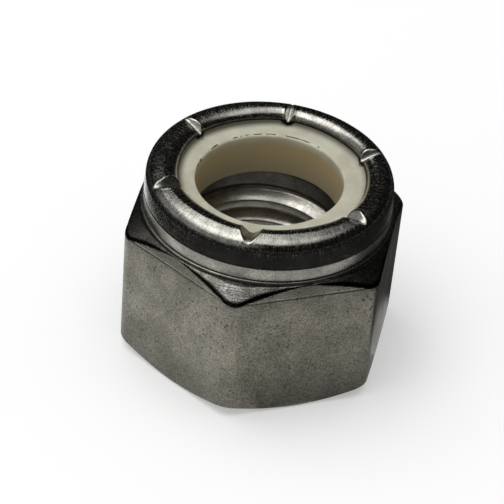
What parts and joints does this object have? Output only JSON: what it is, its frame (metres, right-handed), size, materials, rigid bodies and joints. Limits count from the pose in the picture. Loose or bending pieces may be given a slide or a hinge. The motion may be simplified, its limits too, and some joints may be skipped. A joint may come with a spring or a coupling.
{
  "type": "nylon insert lock nut",
  "caption": "Stainless steel hexagon lock nut with a nylon ring held in its collar by a rolled bead with pressed stakes.",
  "frame": {"origin": "centre of the bearing face, on the thread's axis", "axes": "+Z along the thread's axis from the bearing face to the rolled bead; two corners of the hexagon lie on X, and two flats face +Y and -Y"},
  "size_m": [0.0216, 0.019, 0.0151],
  "materials": {
    "steel": "satin",
    "nylon": "satin"
  },
  "bodies": {
    "root": {"nut_body": "steel", "nylon_insert": "nylon"}
  },
  "joints": []
}
